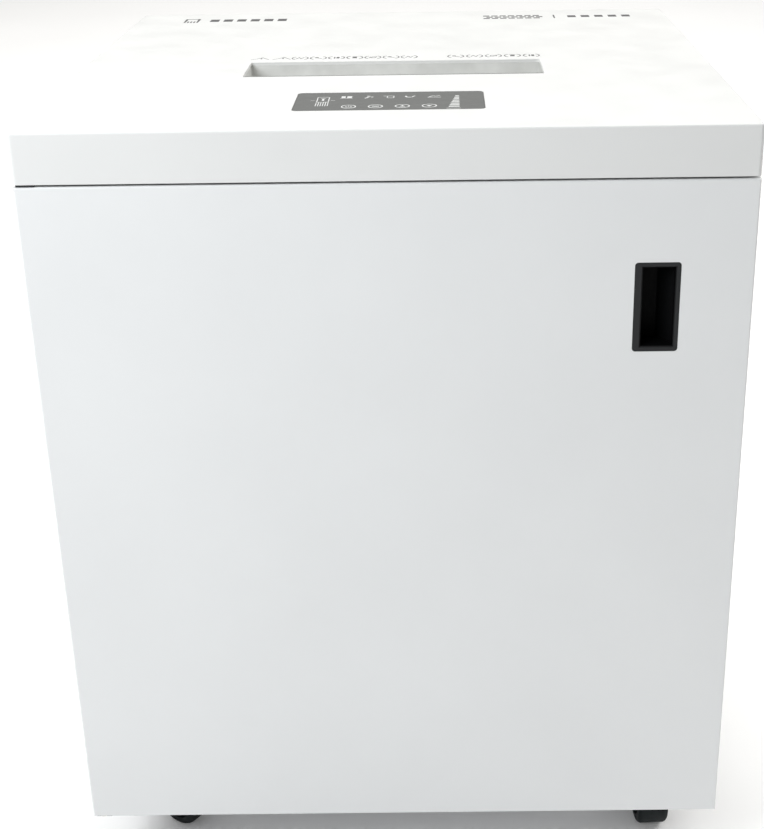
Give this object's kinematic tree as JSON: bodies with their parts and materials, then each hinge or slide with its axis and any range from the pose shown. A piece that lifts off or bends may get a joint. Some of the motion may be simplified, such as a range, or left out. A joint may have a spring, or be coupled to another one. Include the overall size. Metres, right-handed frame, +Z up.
{
  "type": "paper shredder",
  "caption": "Cabinet paper shredder on swivel casters with a top feed slot, flat film controls, a full-height front door and a pull-out waste bin.",
  "frame": {"origin": "on the floor, under the middle of the cabinet", "axes": "+Z up, -Y towards the door at the front, +X to the right seen from the front"},
  "size_m": [0.51, 0.49, 0.637],
  "materials": {
    "powder_coat": "fine-textured powder coat",
    "lid_coat": "fine-textured powder coat",
    "galvanised": "galvanised sheet",
    "steel": "machined steel",
    "hardened_steel": "oiled hardened steel",
    "zinc": "bright zinc plate",
    "throat_plastic": "light grey moulded",
    "overlay_film": "matt printed film",
    "black_plastic": "grained black moulded",
    "dark_plastic": "satin moulded",
    "bin_plastic": "grained moulded",
    "gear_nylon": "natural nylon",
    "circuit_board": "solder-masked board",
    "capacitor_case": "drawn can",
    "motor_casting": "cast and bead-blasted",
    "caster_rubber": "matt moulded tread",
    "caster_steel": "black e-coat"
  },
  "bodies": {
    "cabinet": {"left_side_panel": "powder_coat", "right_side_panel": "powder_coat", "rear_panel": "powder_coat", "base_pan": "galvanised", "mechanism_deck": "galvanised", "front_shield": "galvanised", "top_cover": "lid_coat", "feed_throat": "throat_plastic", "control_overlay": "overlay_film", "control_board": "circuit_board", "lid_screws": "zinc", "cutter_side_plate_left": "steel", "cutter_side_plate_right": "steel", "tie_rods": "zinc", "cutter_bearings": "steel", "stripper_comb_front": "steel", "stripper_comb_rear": "steel", "intermediate_axle": "steel", "motor_housing": "motor_casting", "motor_bracket": "galvanised", "gear_cover": "dark_plastic", "motor_capacitor": "capacitor_case", "power_board": "circuit_board", "power_inlet": "black_plastic", "door_sensor": "dark_plastic", "magnetic_catch": "dark_plastic", "hinge_brackets": "caster_steel", "bin_rails": "dark_plastic", "caster_plates": "caster_steel", "caster_bolts": "zinc"},
    "door": {"door_skin": "powder_coat", "door_stiffener": "galvanised", "door_handle_cup": "black_plastic", "strike_plate": "zinc", "hinge_bushes": "gear_nylon"},
    "bin": {"waste_bin": "bin_plastic", "bin_grip": "black_plastic"},
    "front_cutter": {"cutter_front": "hardened_steel", "sync_gear_front": "steel"},
    "rear_cutter": {"cutter_rear": "hardened_steel", "sync_gear_rear": "steel", "drive_gear": "steel"},
    "intermediate": {"intermediate_gear": "gear_nylon"},
    "rotor": {"motor_rotor": "steel", "motor_fan": "dark_plastic"},
    "rocker": {"mains_rocker": "black_plastic"},
    "swivel_front_left": {"caster_fork_front_left": "caster_steel", "caster_axle_front_left": "zinc"},
    "wheel_front_left": {"caster_wheel_front_left": "caster_rubber"},
    "swivel_front_right": {"caster_fork_front_right": "caster_steel", "caster_axle_front_right": "zinc"},
    "wheel_front_right": {"caster_wheel_front_right": "caster_rubber"},
    "swivel_rear_left": {"caster_fork_rear_left": "caster_steel", "caster_axle_rear_left": "zinc"},
    "wheel_rear_left": {"caster_wheel_rear_left": "caster_rubber"},
    "swivel_rear_right": {"caster_fork_rear_right": "caster_steel", "caster_axle_rear_right": "zinc"},
    "wheel_rear_right": {"caster_wheel_rear_right": "caster_rubber"},
    "brake_front_left": {"brake_lever_front_left": "black_plastic"},
    "brake_front_right": {"brake_lever_front_right": "black_plastic"}
  },
  "joints": [
    {"name": "door_hinge", "type": "hinge", "parent": "cabinet", "child": "door", "pos_m": [-0.247, -0.239, 0.3], "axis": [0, 0, -1], "range_deg": [0, 108]},
    {"name": "bin_slide", "type": "slide", "parent": "cabinet", "child": "bin", "axis": [0, -1, 0], "range_m": [0, 0.1098]},
    {"name": "rear_cutter_spin", "type": "hinge", "parent": "cabinet", "child": "rear_cutter", "pos_m": [0, -0.015, 0.5], "axis": [1, 0, 0], "continuous": true},
    {"name": "front_cutter_spin", "type": "hinge", "parent": "cabinet", "child": "front_cutter", "pos_m": [0, -0.059, 0.5], "axis": [1, 0, 0], "continuous": true},
    {"name": "intermediate_spin", "type": "hinge", "parent": "cabinet", "child": "intermediate", "pos_m": [0.13, 0.03762, 0.51915], "axis": [1, 0, 0], "continuous": true},
    {"name": "motor_spin", "type": "hinge", "parent": "cabinet", "child": "rotor", "pos_m": [0, 0.08179, 0.49365], "axis": [1, 0, 0], "continuous": true},
    {"name": "mains_rocker_tilt", "type": "hinge", "parent": "cabinet", "child": "rocker", "pos_m": [0.197, 0.2355, 0.12], "axis": [1, 0, 0], "range_deg": [0, 14]},
    {"name": "caster_swivel_front_left", "type": "hinge", "parent": "cabinet", "child": "swivel_front_left", "pos_m": [-0.211, -0.157, 0.055], "axis": [0, 0, 1], "continuous": true},
    {"name": "wheel_spin_front_left", "type": "hinge", "parent": "swivel_front_left", "child": "wheel_front_left", "pos_m": [-0.19626, -0.16732, 0.025], "axis": [0.5736, 0.8192, 0], "continuous": true},
    {"name": "brake_tilt_front_left", "type": "hinge", "parent": "swivel_front_left", "child": "brake_front_left", "pos_m": [-0.19134, -0.17077, 0.054], "axis": [-0.5736, -0.8192, 0], "range_deg": [0, 15]},
    {"name": "caster_swivel_front_right", "type": "hinge", "parent": "cabinet", "child": "swivel_front_right", "pos_m": [0.211, -0.157, 0.055], "axis": [0, 0, 1], "continuous": true},
    {"name": "wheel_spin_front_right", "type": "hinge", "parent": "swivel_front_right", "child": "wheel_front_right", "pos_m": [0.21194, -0.17497, 0.025], "axis": [0.9986, 0.0523, 0], "continuous": true},
    {"name": "brake_tilt_front_right", "type": "hinge", "parent": "swivel_front_right", "child": "brake_front_right", "pos_m": [0.21226, -0.18097, 0.054], "axis": [-0.9986, -0.0523, 0], "range_deg": [0, 15]},
    {"name": "caster_swivel_rear_left", "type": "hinge", "parent": "cabinet", "child": "swivel_rear_left", "pos_m": [-0.211, 0.185, 0.055], "axis": [0, 0, 1], "continuous": true},
    {"name": "wheel_spin_rear_left", "type": "hinge", "parent": "swivel_rear_left", "child": "wheel_rear_left", "pos_m": [-0.202, 0.20059, 0.025], "axis": [-0.866, 0.5, 0], "continuous": true},
    {"name": "caster_swivel_rear_right", "type": "hinge", "parent": "cabinet", "child": "swivel_rear_right", "pos_m": [0.211, 0.185, 0.055], "axis": [0, 0, 1], "continuous": true},
    {"name": "wheel_spin_rear_right", "type": "hinge", "parent": "swivel_rear_right", "child": "wheel_rear_right", "pos_m": [0.19943, 0.19879, 0.025], "axis": [-0.766, -0.6428, 0], "continuous": true}
  ],
  "couplings": [
    {"joint": "bin_slide", "follows": "door_hinge", "m_per_rad": 0.058},
    {"joint": "front_cutter_spin", "follows": "rear_cutter_spin", "ratio": -1},
    {"joint": "intermediate_spin", "follows": "rear_cutter_spin", "ratio": -2.5},
    {"joint": "motor_spin", "follows": "rear_cutter_spin", "ratio": 11.667}
  ]
}
